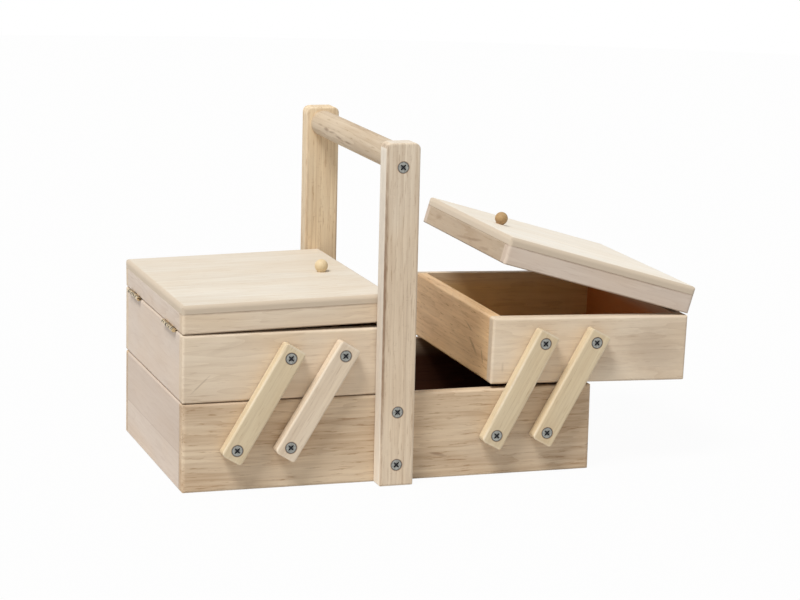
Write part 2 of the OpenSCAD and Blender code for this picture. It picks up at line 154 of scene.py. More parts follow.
class StageLook(bpy.types.PropertyGroup):
    """Camera, light and floor."""

    camera_place: bpy.props.FloatVectorProperty(
        name="Camera Place", description="Where the camera stands", size=3,
        default=(-0.559332, -1.796704, 0.489995), subtype="TRANSLATION", unit="LENGTH",
    )
    heading: bpy.props.FloatProperty(
        name="Heading", description="Turn of the view from +Y towards +X", default=0.319, subtype="ANGLE"
    )
    downward: bpy.props.FloatProperty(
        name="Downward Tilt", description="Angle of the view below level", default=0.198, subtype="ANGLE"
    )
    roll: bpy.props.FloatProperty(
        name="Roll", description="Turn of the picture about the view", default=0.024, subtype="ANGLE"
    )
    lens: bpy.props.FloatProperty(
        name="Lens", description="Focal length on a 36 mm frame", default=119.03, min=10.0, unit="CAMERA"
    )
    sky: bpy.props.FloatProperty(name="Sky", description="Even light from all round", default=0.40, min=0.0)
    key: bpy.props.FloatProperty(
        name="Key", description="Light from the upper left", default=2.5, min=0.0
    )
    key_from: bpy.props.FloatVectorProperty(
        name="Key Direction", description="Direction that the key light comes from", size=3,
        default=(-0.42, -0.30, 0.86), subtype="DIRECTION",
    )
    key_spread: bpy.props.FloatProperty(
        name="Key Spread", description="Angle that the key light fills", default=0.36, subtype="ANGLE"
    )
    floor_size: bpy.props.FloatProperty(
        name="Floor Size", description="Radius of the floor", default=3.0, min=0.5, unit="LENGTH"
    )
    floor: colour_property("Floor", "Colour of the floor", (0.62, 0.61, 0.60))
    floor_glow: share_property("Floor Whiteness", "How far the seen floor goes to white", 0.96)


class Tree:
    """Short ways to add and join shader nodes."""

    def __init__(self, tree):
        self.tree = tree

    def add(self, kind, inputs=None, **settings):
        """A node with its settings, whose inputs are values or sockets."""
        node = self.tree.nodes.new(kind)
        for key, value in settings.items():
            setattr(node, key, value)
        for key, value in (inputs or {}).items():
            self.feed(node.inputs[key], value)
        return node

    def feed(self, socket, value):
        """Gives an input a value, or joins another node's output to it."""
        if isinstance(value, bpy.types.NodeSocket):
            self.tree.links.new(value, socket)
        else:
            socket.default_value = value

    def math(self, operation, first, second=0.0, clamp=False):
        """The result of one sum on numbers or sockets."""
        node = self.add("ShaderNodeMath", {0: first, 1: second}, operation=operation, use_clamp=clamp)
        return node.outputs[0]

    def length(self, vector):
        """How long a vector is."""
        return self.vector("LENGTH", vector, NOWHERE)

    def parts(self, vector):
        """The three parts of a vector."""
        return self.add("ShaderNodeSeparateXYZ", {0: vector}).outputs

    def vector(self, operation, first, second):
        """The result of one sum on vectors."""
        node = self.add("ShaderNodeVectorMath", {0: first, 1: second}, operation=operation)
        return node.outputs["Value" if operation == "LENGTH" else "Vector"]

    def noise(self, place, scale, detail=2.0, roughness=0.5):
        """Noise from 0 to 1, stretched by a scale along each direction."""
        node = self.add(
            "ShaderNodeTexNoise",
            {"Vector": self.vector("MULTIPLY", place, scale), "Scale": 1.0, "Detail": detail,
             "Roughness": roughness},
        )
        return node.outputs["Fac"]

    def ramp(self, value, low, high, to_low=0.0, to_high=1.0):
        """The value carried from one range to another, kept inside it."""
        inputs = {"Value": value, "From Min": low, "From Max": high, "To Min": to_low, "To Max": to_high}
        return self.add("ShaderNodeMapRange", inputs, interpolation_type="SMOOTHSTEP").outputs["Result"]

    def mix(self, share, first, second):
        """One colour laid over another by a share."""
        node = self.add("ShaderNodeMix", data_type="RGBA")
        # A colour mix takes its factor and its two colours at these places among all its inputs
        for place, value in ((0, share), (6, first), (7, second)):
            self.feed(node.inputs[place], value)
        return node.outputs[2]

    def tint(self, share, colour, tone):
        """One colour multiplied by another by a share."""
        mixed = self.mix(share, colour, tone)
        mixed.node.blend_type = "MULTIPLY"
        return mixed


def new_group(name, inputs, outputs):
    """An empty shader group with named sockets, as (group, its tree, its input node, its output node)."""
    group = bpy.data.node_groups.new(name, "ShaderNodeTree")
    for label, kind, value in inputs:
        socket = group.interface.new_socket(name=label, in_out="INPUT", socket_type=kind)
        if value is not None:
            socket.default_value = value
    for label, kind in outputs:
        group.interface.new_socket(name=label, in_out="OUTPUT", socket_type=kind)
    return group, Tree(group), group.nodes.new("NodeGroupInput"), group.nodes.new("NodeGroupOutput")


FLOAT, COLOUR, VECTOR = "NodeSocketFloat", "NodeSocketColor", "NodeSocketVector"


def grain_group():
    """Wood grain in a board's own millimetres: X along the grain, Y across it, Z through it.

    The growth rings run round a line along X through Heart, Ring Width apart.
    """
    group, tree, given, out = new_group(
        "Board Grain",
        [("Place", VECTOR, None), ("Seed", FLOAT, 0.0), ("Wood", COLOUR, None), ("Grain", COLOUR, None),
         ("Heart", VECTOR, (0.0, 10.0, 40.0)), ("Ring Width", FLOAT, 6.0), ("Rings", FLOAT, 0.3),
         ("Wander", FLOAT, 10.0), ("Fibres", FLOAT, 0.3), ("Flecks", FLOAT, 0.3), ("Clouds", FLOAT, 0.3),
         ("Ticks", FLOAT, 0.0), ("Blush", FLOAT, 0.5)],
        [("Color", COLOUR), ("Height", FLOAT), ("Mask", FLOAT)],
    )
    # How far apart in the noise two boards with neighbouring seeds are cut, in millimetres
    seed_step = (211.0, 67.0, 41.0)
    # The share of the grain's tone that every part of a board has
    plain_share = 0.22
    # The warm tint that comes and goes over a board
    blush_tint = (1.0, 0.94, 0.86, 1.0)
    across_only = (0.0, 1.0, 1.0)

    def waves(scale, detail, roughness=0.5):
        """Noise from -0.5 to 0.5, stretched by a scale along each direction."""
        return tree.math("SUBTRACT", tree.noise(place, scale, detail, roughness), 0.5)

    seed = given.outputs["Seed"]
    steps = {i: tree.math("MULTIPLY", seed, step) for i, step in enumerate(seed_step)}
    place = tree.vector("ADD", given.outputs["Place"], tree.add("ShaderNodeCombineXYZ", steps).outputs[0])

    wander = waves((0.011, 0.035, 0.035), 2.0)
    from_heart = tree.vector("SUBTRACT", given.outputs["Place"], given.outputs["Heart"])
    radius = tree.length(tree.vector("MULTIPLY", from_heart, across_only))
    wandered = tree.math("ADD", radius, tree.math("MULTIPLY", wander, given.outputs["Wander"]))
    uneven = tree.math("MULTIPLY", tree.noise(place, (0.002, 0.12, 0.12), 1.0), 3.0)
    rings_out = tree.math("DIVIDE", wandered, given.outputs["Ring Width"])
    ring = tree.math("FRACT", tree.math("ADD", rings_out, uneven))
    late_wood = tree.math("POWER", ring, 3.0)

    fibres = waves((0.016, 0.42, 0.42), 4.0, 0.62)
    flecks = tree.ramp(tree.noise(place, (0.07, 0.9, 0.9), 3.0, 0.6), 0.57, 0.70)
    clouds = waves((0.009, 0.045, 0.045), 3.0, 0.55)
    ticks = tree.ramp(tree.noise(place, (0.8, 0.25, 0.25), 2.0, 0.6), 0.60, 0.74)

    amount = tree.math("MULTIPLY", late_wood, given.outputs["Rings"])
    for effect, label in ((fibres, "Fibres"), (flecks, "Flecks"), (clouds, "Clouds"), (ticks, "Ticks")):
        amount = tree.math("ADD", amount, tree.math("MULTIPLY", effect, given.outputs[label]))
    amount = tree.math("ADD", amount, plain_share, clamp=True)
    colour = tree.mix(amount, given.outputs["Wood"], given.outputs["Grain"])
    patches = tree.ramp(tree.noise(place, (0.014, 0.03, 0.03), 2.0), 0.35, 0.65)
    blushed = tree.tint(1.0, colour, blush_tint)
    colour = tree.mix(tree.math("MULTIPLY", patches, given.outputs["Blush"]), colour, blushed)

    fine = tree.noise(place, (0.05, 2.6, 2.6), 2.0)
    pores = tree.math("MULTIPLY", flecks, 0.6)
    height = tree.math("SUBTRACT", tree.math("ADD", fibres, fine), pores)
    group.links.new(colour, out.inputs["Color"])
    group.links.new(height, out.inputs["Height"])
    group.links.new(amount, out.inputs["Mask"])
    return group


def glue_group():
    """Two boards glued edge to edge: a fine line across Y, with the board beyond it in another tone."""
    group, tree, given, out = new_group(
        "Glued Boards",
        [("Color", COLOUR, None), ("Place", VECTOR, None), ("Joint", FLOAT, 0.0), ("Beyond", COLOUR, None),
         ("Beyond Share", FLOAT, 0.3), ("Line", COLOUR, None), ("Line Share", FLOAT, 0.4)],
        [("Color", COLOUR)],
    )
    # Half width of the change of tone, and where the line starts and is full, in millimetres
    change = 0.15
    line_start, line_full = 0.5, 0.1
    across = tree.parts(given.outputs["Place"])[1]
    past = tree.math("SUBTRACT", across, given.outputs["Joint"])
    beyond = tree.math("MULTIPLY", tree.ramp(past, -change, change), given.outputs["Beyond Share"])
    line = tree.ramp(tree.math("ABSOLUTE", past), line_start, line_full)
    colour = tree.mix(beyond, given.outputs["Color"], given.outputs["Beyond"])
    line_share = tree.math("MULTIPLY", line, given.outputs["Line Share"])
    colour = tree.mix(line_share, colour, given.outputs["Line"])
    group.links.new(colour, out.inputs["Color"])
    return group


def mark_group():
    """A soft-edged mark, such as a stained spot, a small knot, a nail hole or a patch of painted shade,
    round one place of a board.
    """
    group, tree, given, out = new_group(
        "Board Mark",
        [("Color", COLOUR, None), ("Place", VECTOR, None), ("Centre", VECTOR, None), ("Size", VECTOR, None),
         ("Slant", FLOAT, 0.0), ("Mark", COLOUR, None), ("Share", FLOAT, 0.5), ("Ragged", FLOAT, 0.6),
         ("Core", FLOAT, 0.25)],
        [("Color", COLOUR)],
    )
    away = tree.vector("SUBTRACT", given.outputs["Place"], given.outputs["Centre"])
    turned = tree.add("ShaderNodeVectorRotate", {"Vector": away, "Angle": given.outputs["Slant"]},
                      rotation_type="Z_AXIS").outputs[0]
    reach = tree.length(tree.vector("DIVIDE", turned, given.outputs["Size"]))
    rough = tree.math("SUBTRACT", tree.noise(given.outputs["Place"], (0.12, 0.5, 0.5), 3.0), 0.5)
    reach = tree.math("ADD", reach, tree.math("MULTIPLY", rough, given.outputs["Ragged"]))
    share = tree.math("MULTIPLY", tree.ramp(reach, 1.0, given.outputs["Core"]), given.outputs["Share"])
    colour = tree.mix(share, given.outputs["Color"], given.outputs["Mark"])
    group.links.new(colour, out.inputs["Color"])
    return group


def edge_group():
    """Sanded edges that are paler in places, partly a painted highlight along them, and darker end grain,
    on a board of a known half size.
    """
    group, tree, given, out = new_group(
        "Board Edges",
        [("Color", COLOUR, None), ("Place", VECTOR, None), ("Half", VECTOR, None), ("Worn", COLOUR, None),
         ("Wear", FLOAT, 0.5), ("End Grain", COLOUR, None), ("End Share", FLOAT, 0.3),
         ("Rim", COLOUR, None), ("Rim Share", FLOAT, 0.0), ("Rim Width", FLOAT, 1.0)],
        [("Color", COLOUR)],
    )
    place = tree.add("ShaderNodeVectorMath", {0: given.outputs["Place"]}, operation="ABSOLUTE").outputs[0]
    # Where the paler edges (worn and painted highlight) and end grain start and are full, in millimetres
    # from an edge
    wear_start, wear_full = 2.0, 0.3
    end_start, end_full = 0.5, 0.1
    end, side, face = tree.parts(tree.vector("SUBTRACT", given.outputs["Half"], place))
    nearer = tree.math("MINIMUM", side, end)
    farther = tree.math("MAXIMUM", side, end)
    from_edge = tree.math("MAXIMUM", nearer, tree.math("MINIMUM", farther, face))
    patchy = tree.noise(given.outputs["Place"], (0.035, 0.09, 0.09), 3.0, 0.6)
    wear_and_highlight = tree.math("MULTIPLY", tree.ramp(from_edge, wear_start, wear_full), tree.ramp(patchy, 0.3, 0.65))
    wear_and_highlight = tree.math("MULTIPLY", wear_and_highlight, given.outputs["Wear"])
    cut_end = tree.math("MULTIPLY", tree.ramp(end, end_start, end_full), given.outputs["End Share"])
    rim_full = tree.math("MULTIPLY", given.outputs["Rim Width"], 0.4)
    rim = tree.math("MULTIPLY", tree.ramp(nearer, given.outputs["Rim Width"], rim_full),
                    given.outputs["Rim Share"])
    colour = tree.mix(rim, given.outputs["Color"], given.outputs["Rim"])
    colour = tree.mix(cut_end, colour, given.outputs["End Grain"])
    group.links.new(tree.mix(wear_and_highlight, colour, given.outputs["Worn"]), out.inputs["Color"])
    return group


def painted_shade_group():
    """A board's inner face darkened with painted shade, deepest at the bottom."""
    group, tree, given, out = new_group(
        "Painted Inner Shade",
        [("Color", COLOUR, None), ("Place", VECTOR, None), ("Half", VECTOR, None), ("Side", FLOAT, 1.0),
         ("Deep", COLOUR, None), ("Share", FLOAT, 0.5)],
        [("Color", COLOUR)],
    )
    # Where the painted shade on the face starts and is full, in millimetres into the board
    face_start, face_full = 0.6, 0.1
    # Share of the painted shade at the rim of the board
    rim_shade = 0.35
    _, across, through = tree.parts(given.outputs["Place"])
    _, half_across, half_through = tree.parts(given.outputs["Half"])
    from_face = tree.math("SUBTRACT", half_through, tree.math("MULTIPLY", through, given.outputs["Side"]))
    below_rim = tree.math("DIVIDE", tree.math("SUBTRACT", half_across, across), half_across)
    depth = tree.ramp(below_rim, 0.02, 0.5, rim_shade, 1.0)
    near_face = tree.math("MULTIPLY", tree.ramp(from_face, face_start, face_full), depth)
    share = tree.math("MULTIPLY", near_face, given.outputs["Share"])
    group.links.new(tree.tint(share, given.outputs["Color"], given.outputs["Deep"]), out.inputs["Color"])
    return group


GROUP_MAKERS = {
    "Board Grain": grain_group,
    "Glued Boards": glue_group,
    "Board Mark": mark_group,
    "Board Edges": edge_group,
    "Painted Inner Shade": painted_shade_group,
}


def place_group(tree, name, inputs):
    """A copy of a shared group in a material, made the first time that it is asked for."""
    group = bpy.data.node_groups.get(name) or GROUP_MAKERS[name]()
    return tree.add("ShaderNodeGroup", inputs, node_tree=group)


def opaque(colour):
    """A colour property as the four numbers that a colour socket takes."""
    return (*colour, 1.0)


def new_material(name, roughness, metallic=0.0, specular=0.5):
    """A material with a Principled BSDF, as (material, tree, shader)."""
    material = bpy.data.materials.new(name)
    material.use_nodes = True
    shader = material.node_tree.nodes["Principled BSDF"]
    shader.inputs["Roughness"].default_value = roughness
    shader.inputs["Metallic"].default_value = metallic
    shader.inputs["Specular IOR Level"].default_value = specular
    return material, Tree(material.node_tree), shader


def board_box(node, axes):
    """A board's middle, and its half size along its own three directions in millimetres."""
    turned = [axes.transposed() @ vertex.co for vertex in NODES[node].data.vertices]
    low = Vector([min(place[i] for place in turned) for i in range(3)])
    high = Vector([max(place[i] for place in turned) for i in range(3)])
    return axes @ ((low + high) / 2), (high - low) / 2 / MM


def turned_axes(axes, angle):
    """A board's three directions after a turn about Y, as a rotation matrix."""
    return Matrix.Rotation(angle, 3, "Y") @ Matrix(axes).transposed()


def paint(node, material):
    """Puts one material on every slot of a CAD node."""
    for slot in NODES[node].material_slots:
        slot.material = material


def mark(centre, size, slant=0.0, share=0.3, core=0.25, ragged=0.6):
    """A darker place in a board, in millimetres from its middle and along its own directions.

    With only two numbers, its centre is level with the board's and its size goes through the board.
    The core is the part of its size that has the full tone.
    """
    return {"Centre": (*centre, 0)[:3], "Size": (*size, SOFT_DEPTH)[:3], "Slant": slant, "Share": share,
            "Core": core, "Ragged": ragged}


def gap_shade_lines(half, shares):
    """Dark lines of painted shade along the lower and the upper edge of a board, by their shares, in the
    gap to the next part.
    """
    return [mark((0, edge * half.y), (half.x * 2, GAP_SHADE_WIDTH, CRISP_DEPTH), share=share)
            for edge, share in zip((-1, 1), shares) if share]


def finish_board(node, axes, tone, seed, glue=None, marks=(), bump=0.12, wear_and_highlight=0.12, inner=None,
                 rim=("sand", 0.0, 1.0), gap_shades=(0.0, 0.0), **grain):
    """Gives a CAD board its own wood, with the grain along the board.

    Glue is the place of a joint across the board, the tone beyond it and that tone's share.
    Inner is the face that looks inwards and gets painted shade, 1 or -1 for its side of the board, the
    shade's tone and its share.
    The rim is the tone of its sides and ends, its share and its width in from there.
    Gap shades are the shares of a line of painted shade along its lower and its upper edge, in the gap to
    the next part.
    The rest is what the grain group takes.
    """
    look = bpy.context.scene.wood_look
    material, tree, shader = new_material(f"wood_{node}", look.roughness, specular=0.35)
    middle, half = board_box(node, axes)
    place = tree.add(
        "ShaderNodeMapping",
        {"Vector": tree.add("ShaderNodeTexCoord").outputs["Object"], "Location": middle,
         "Rotation": axes.to_euler(), "Scale": (MM, MM, MM)},
        vector_type="TEXTURE",
    ).outputs[0]
    sizes = {
        "Place": place, "Seed": float(seed), "Wood": opaque(getattr(look, tone)),
        "Grain": opaque(getattr(look, tone + "_grain")),
    }
    sizes.update({key.replace("_", " ").title(): value for key, value in grain.items()})
    wood = place_group(tree, "Board Grain", sizes)
    colour = wood.outputs["Color"]
    if glue:
        joint, beyond, share = glue
        colour = place_group(tree, "Glued Boards", {
            "Color": colour, "Place": place, "Joint": joint, "Beyond": opaque(getattr(look, beyond)),
            "Beyond Share": share, "Line": opaque(look.stain_and_shade), "Line Share": 0.25,
        }).outputs[0]
    for darker in [*marks, *gap_shade_lines(half, gap_shades)]:
        colour = place_group(tree, "Board Mark", {
            "Color": colour, "Place": place, "Mark": opaque(look.stain_and_shade), **darker,
        }).outputs[0]
    colour = place_group(tree, "Board Edges", {
        "Color": colour, "Place": place, "Half": half, "Worn": opaque(look.worn), "Wear": wear_and_highlight,
        "End Grain": opaque(getattr(look, tone + "_grain")), "End Share": 0.3,
        "Rim": opaque(getattr(look, rim[0])), "Rim Share": rim[1], "Rim Width": rim[2],
    }).outputs[0]
    # Painted shade on the face that looks inwards
    if inner:
        side, shade_tone, share = inner
        colour = place_group(tree, "Painted Inner Shade", {
            "Color": colour, "Place": place, "Half": half, "Side": float(side),
            "Deep": opaque(getattr(look, shade_tone)), "Share": share,
        }).outputs[0]
    tree.feed(shader.inputs["Base Color"], colour)
    bumps = {"Height": wood.outputs["Height"], "Strength": bump, "Distance": BUMP_DEPTH}
    tree.feed(shader.inputs["Normal"], tree.add("ShaderNodeBump", bumps).outputs[0])
    rough = tree.ramp(wood.outputs["Mask"], 0.0, 1.0, look.roughness - SMOOTHER, look.roughness + ROUGHER)
    tree.feed(shader.inputs["Roughness"], rough)
    paint(node, material)


class SEWINGBOX_OT_base(bpy.types.Operator):
    """Finish the boards of the base"""

    bl_idname = "sewingbox.base"
    bl_label = "Finish the Base"

    def execute(self, context):
        standing = turned_axes(ALONG_X_STANDING, 0)
        ends = turned_axes(ALONG_Y_STANDING, 0)
        front_marks = [
            mark((35, -14), (9, 1.6), 0.25, 0.5),
            mark((-20, 12), (60, 5), 0.05, 0.16),
            mark((90, -4), (45, 4), -0.04, 0.16),
            mark((149, -13), (0.9, 0.9), 0.0, 0.9),
            mark((149, -17), (0.9, 0.9), 0.0, 0.9),
            mark((-149, 8), (0.5, 7), 0.0, 0.4),
            # Painted shade: the right part of the front darker, where it falls into shadow
            mark((106, 0), (90, 70), 0.0, 0.14),
        ]
        # The inner faces of all the base's boards get the deepest painted shade
        finish_board("base_front_wall", standing, "tan", 1, heart=(0, 6, 24), ring_width=9, rings=0.25,
                     wander=26, fibres=1.0, flecks=0.55, clouds=1.5, marks=front_marks,
                     inner=(-1, "painted_base_shade", 1.0))
        finish_board("base_back_wall", standing, "tan", 2, heart=(0, -12, 30), ring_width=8, rings=0.3,
                     wander=22, fibres=1.0, flecks=0.5, clouds=1.3, inner=(1, "painted_base_shade", 1.0))
        glued = (-4.75, "rose_grain", 0.38)
        finish_board("base_left_end", ends, "rose", 3, glue=glued, heart=(0, -30, 60), rings=0.16,
                     wander=30, fibres=0.65, flecks=0.25, clouds=0.5, inner=(1, "painted_base_shade", 1.0))
        finish_board("base_right_end", ends, "tan", 4, glue=glued, heart=(0, 20, 60), rings=0.2,
                     wander=24, fibres=0.7, flecks=0.3, clouds=0.5, inner=(-1, "painted_base_shade", 1.0))
        finish_board("base_floor", turned_axes(ALONG_X_LYING, 0), "tan", 5, heart=(0, 20, 60), rings=0.3,
                     wander=40, fibres=0.6, flecks=0.3, clouds=0.6, inner=(1, "painted_base_shade", 1.0))
        return {"FINISHED"}


class SEWINGBOX_OT_handle(bpy.types.Operator):
    """Finish the uprights and the handle bar"""

    bl_idname = "sewingbox.handle"
    bl_label = "Finish the Handle"

    def execute(self, context):
        screws = [ring for node in ("upright_screws", "handle_bar_screws")
                  for ring in screw_gap_shades(node, "upright_front")]
        edges = {
            "upright_front": [
                mark((6, -11.4), (170, 1.9), 0.0, 0.95),
                mark((-30, 6), (150, 5), 0.01, 0.12),
                mark((30, 0), (110, 60), 0.0, 0.07),
            ],
            "upright_back": [
                mark((0, -11.3), (170, 1.4), 0.0, 0.4),
                mark((0, -8), (170, 5), 0.0, 0.1),
                # Painted shade on the back upright's left side face
                mark((0, -12.6), (170, 1.2), 0.0, 0.2),
            ],
        }
        # Dark squiggles on the bar's left side: how far from its axis they lie, and their half depth
        to_left, depth = -6, 12
        squiggles = [
            mark((50, 0.8, to_left), (9, 1.9, depth), 0.0, 0.75),
            mark((36, 0.6, to_left), (11, 1.2, depth), 0.06, 0.6),
            mark((18, -1.0, to_left), (13, 1.3, depth), -0.05, 0.65),
            mark((-4, -1.6, to_left), (13, 1.1, depth), 0.0, 0.6),
            mark((66, 2.2, to_left), (8, 1.2, depth), 0.0, 0.35),
        ]
        # The last number is the share of a painted highlight on each upright's sides, in the ivory tone
        uprights = ((11, "upright_front", "sand", 1.0, 0.6), (12, "upright_back", "wheat", 0.4, 0.0))
        for seed, node, tone, clouds, painted_side_light in uprights:
            finish_board(node, turned_axes(UPRIGHT, 0), tone, seed, heart=(0, -60, 10), ring_width=4.4,
                         rings=0.34, wander=7, fibres=1.25, flecks=0.6, clouds=clouds, bump=0.2,
                         ticks=0.22, marks=screws + edges[node], rim=("ivory", painted_side_light, 0.5))
        finish_board("handle_bar", turned_axes(ALONG_Y_STANDING, 0), "oat", 13, heart=(0, 14, 26),
                     ring_width=6, rings=0.3, wander=14, fibres=0.8, flecks=0.5, clouds=0.9, wear_and_highlight=0.0,
                     marks=squiggles)
        return {"FINISHED"}


def islands(node):
    """The box of each separate solid of a CAD node, as pairs of corners."""
    mesh = NODES[node].data
    parent = list(range(len(mesh.vertices)))

    def root(i):
        while parent[i] != i:
            parent[i] = parent[parent[i]]
            i = parent[i]
        return i

    for edge in mesh.edges:
        first, second = (root(i) for i in edge.vertices)
        parent[first] = second
    groups = {}
    for vertex in mesh.vertices:
        groups.setdefault(root(vertex.index), []).append(vertex.co)
    return [
        (Vector([min(place[i] for place in group) for i in range(3)]),
         Vector([max(place[i] for place in group) for i in range(3)]))
        for group in groups.values()
    ]


def screw_axes(node):
    """Where the screws of a node run along Y, as (x, z, radius of the head)."""
    found = {}
    for low, high in islands(node):
        middle = (low + high) / 2
        radius = (high.x - low.x) / 2
        key = (round(middle.x / MM), round(middle.z / MM))
        if key not in found or radius > found[key][2]:
            found[key] = (middle.x, middle.z, radius)
    return list(found.values())


def screw_gap_shades(screws, node, axes=None):
    """A dark ring of painted shade in the wood of a board round each screw head that is set in it, where
    the gap round the head lies.
    """
    # How far the ring shows past the head, its share and the part of it with the full tone
    past_head, ring_share, ring_core = 0.7, 0.75, 0.9
    axes = axes or turned_axes(UPRIGHT, 0)
    middle, half = board_box(node, axes)
    rings = []
    for x, z, radius in screw_axes(screws):
        place = axes.transposed() @ (Vector((x, middle.y, z)) - middle) / MM
        reach = radius / MM + past_head
        if abs(place.x) < half.x and abs(place.y) < half.y:
            rings.append(mark((place.x, place.y), (reach, reach, CRISP_DEPTH), share=ring_share,
                              core=ring_core, ragged=0.0))
    return rings


def link_axes(side):
    """The directions of a side's links at rest, from the pivots of its inner links."""
    low = Vector(JOINTS[f"{side}_tray_swing"]["pos_m"])
    high = Vector(JOINTS[f"{side}_tray_level"]["pos_m"])
    along = (high - low).normalized()
    through = Vector((0, -1, 0))
    return Matrix((along, through.cross(along), through)).transposed()


class SEWINGBOX_OT_links(bpy.types.Operator):
    """Finish the eight links"""

    bl_idname = "sewingbox.links"
    bl_label = "Finish the Links"

    def execute(self, context):
        seed = 20
        for side in SIDES:
            for rank in ("inner", "outer"):
                for end in ("front", "back"):
                    seed += 1
                    node = f"{side}_{rank}_link_{end}"
                    tone = "sand" if (side, rank) == ("left", "inner") else "straw"
                    # Rings of painted shade in the wood round the screw heads
                    rings = [ring for screws in ("base_link_screws", f"{side}_tray_link_screws")
                             for ring in screw_gap_shades(screws, node, link_axes(side))]
                    # The four links of a side are cut at four different distances from the heart
                    from_heart = 18 + 3 * (seed % 4)
                    finish_board(node, link_axes(side), tone, seed, marks=rings, wear_and_highlight=0.4,
                                 heart=(0, from_heart, 30), ring_width=7, rings=0.2, wander=8,
                                 fibres=0.85, flecks=0.4, clouds=0.45)
        return {"FINISHED"}


class SEWINGBOX_OT_trays(bpy.types.Operator):
    """Finish the boards of both trays"""

    bl_idname = "sewingbox.trays"
    bl_label = "Finish the Trays"

    def execute(self, context):
        fronts = {
            "left": [
                mark((-62, -11), (13, 0.8), -0.75, 0.32),
                mark((30, 0), (30, 5), -0.5, 0.14),
                mark((-45, 14), (20, 3), -0.35, 0.1),
            ],
            "right": [
                mark((48, -3), (34, 22), 0.4, 0.2),
                mark((60, 0), (50, 60), 0.0, 0.1),
                mark((-66, -12), (1.2, 5), 0.0, 0.2),
            ],
        }
        inner_marks = [
            mark((-50, -4), (14, 2.2), -0.5, 0.5),
            mark((-70, -8), (8, 2), -1.1, 0.45),
            mark((-40, 8), (10, 1.4), -0.3, 0.45),
        ]
        wanders = {"left": 40, "right": 60}
        # Painted shade in the gap between each tray and the part below it
        lower_gap_shades = {"left": 0.95, "right": 0.5}
        # Every board's inner face gets painted shade, the outer end's the deepest
        for seed, side in zip((30, 40), SIDES):
            turn = TURNS[f"{side}_tray"]
            standing = turned_axes(ALONG_X_STANDING, turn)
            ends = turned_axes(ALONG_Y_STANDING, turn)
            facing = 1 if side == "left" else -1
            finish_board(f"{side}_tray_front_wall", standing, "sand", seed + 1, heart=(0, 16, 34),
                         ring_width=11, rings=0.22, wander=wanders[side], fibres=0.6, flecks=0.3,
                         clouds=0.9, marks=fronts[side], inner=(-1, "inside", 0.8),
                         gap_shades=(lower_gap_shades[side], 0.0))
            finish_board(f"{side}_tray_back_wall", standing, "sand", seed + 2, heart=(0, -10, 30),
                         rings=0.24, wander=30, fibres=0.8, flecks=0.35, clouds=0.7,
                         inner=(1, "inside", 0.8))
            finish_board(f"{side}_tray_outer_end", ends, "rose", seed + 3, heart=(0, -20, 50),
                         rings=0.12, wander=30, fibres=0.4, flecks=0.2, clouds=0.5,
                         inner=(facing, "shade", 1.0))
            finish_board(f"{side}_tray_inner_end", ends, "amber", seed + 4, heart=(0, 10, 36),
                         rings=0.14, wander=24, fibres=0.8, flecks=0.45, clouds=0.8, marks=inner_marks,
                         inner=(-facing, "inside", 0.8))
            finish_board(f"{side}_tray_floor", turned_axes(ALONG_X_LYING, turn), "tan", seed + 5,
                         heart=(0, 20, 60), rings=0.3, wander=40, fibres=0.6, flecks=0.3, clouds=0.6,
                         inner=(1, "inside", 0.8))
        return {"FINISHED"}


class SEWINGBOX_OT_lids(bpy.types.Operator):
    """Finish the boards and knobs of both lids"""

    bl_idname = "sewingbox.lids"
    bl_label = "Finish the Lids"

    def execute(self, context):
        # Tones of the top board, the long rails, the inner rail and the knob
        tones = {"left": ("cream", "sand", "sand", "honey"), "right": ("ivory", "rose", "oat", "caramel")}
        swirl = [
            mark((-24, -1), (20, 1.6), 0.14, 0.5),
            mark((-2, -3), (26, 1.4), 0.1, 0.35),
            mark((-46, -3.5), (14, 1.8), 0.1, 0.35),
            mark((58, 2), (10, 3), 0.0, 0.3),
            mark((0, 5), (80, 2.2), 0.0, 0.14),
            # Painted shade over the whole inner rail
            mark((0, 0), (300, 90), 0.0, 0.28),
        ]
        # Painted shadow on the lower half of the right knob
        knob_marks = {"left": (), "right": [mark((-5, 0), (6.5, 9, 9), 0.0, 0.55)]}
        for seed, side in zip((50, 60), SIDES):
            turn = TURNS[f"{side}_lid"]
            standing = turned_axes(ALONG_X_STANDING, turn)
            ends = turned_axes(ALONG_Y_STANDING, turn)
            top, long_rail, inner_rail, knob = tones[side]
            finish_board(f"{side}_lid_panel", turned_axes(ALONG_X_LYING, turn), top, seed + 1,
                         glue=(0.0, top + "_grain", 0.25), heart=(0, 50, 50), ring_width=8, rings=0.2,
                         wander=30, fibres=1.0, flecks=0.5, clouds=1.0, blush=0.35,
                         rim=("cut_side", 0.95, 3.0), wear_and_highlight=0.05)
            # Dark lines of painted shade along the long rails' edges, in the gaps to the tray and to the
            # top board
            for offset, name in enumerate(("front", "back")):
                finish_board(f"{side}_lid_{name}_rail", standing, long_rail, seed + 2 + offset,
                             heart=(0, 12, 30), rings=0.2, wander=30, fibres=0.65, flecks=0.3,
                             clouds=0.5, gap_shades=(0.8, 0.6))
            short_rails = (("outer", "rose", ()), ("inner", inner_rail, swirl))
            for offset, (name, tone, marks) in enumerate(short_rails):
                finish_board(f"{side}_lid_{name}_rail", ends, tone, seed + 4 + offset,
                             heart=(0, 12, 30), rings=0.26, wander=30, fibres=0.7, flecks=0.4, clouds=0.8,
                             marks=marks)
            finish_board(f"{side}_lid_knob", turned_axes(UPRIGHT, turn), knob, seed + 6,
                         heart=(0, 4, 3), ring_width=2.4, rings=0.3, wander=2, fibres=0.6, flecks=0.3,
                         clouds=0.4, marks=knob_marks[side])
        return {"FINISHED"}


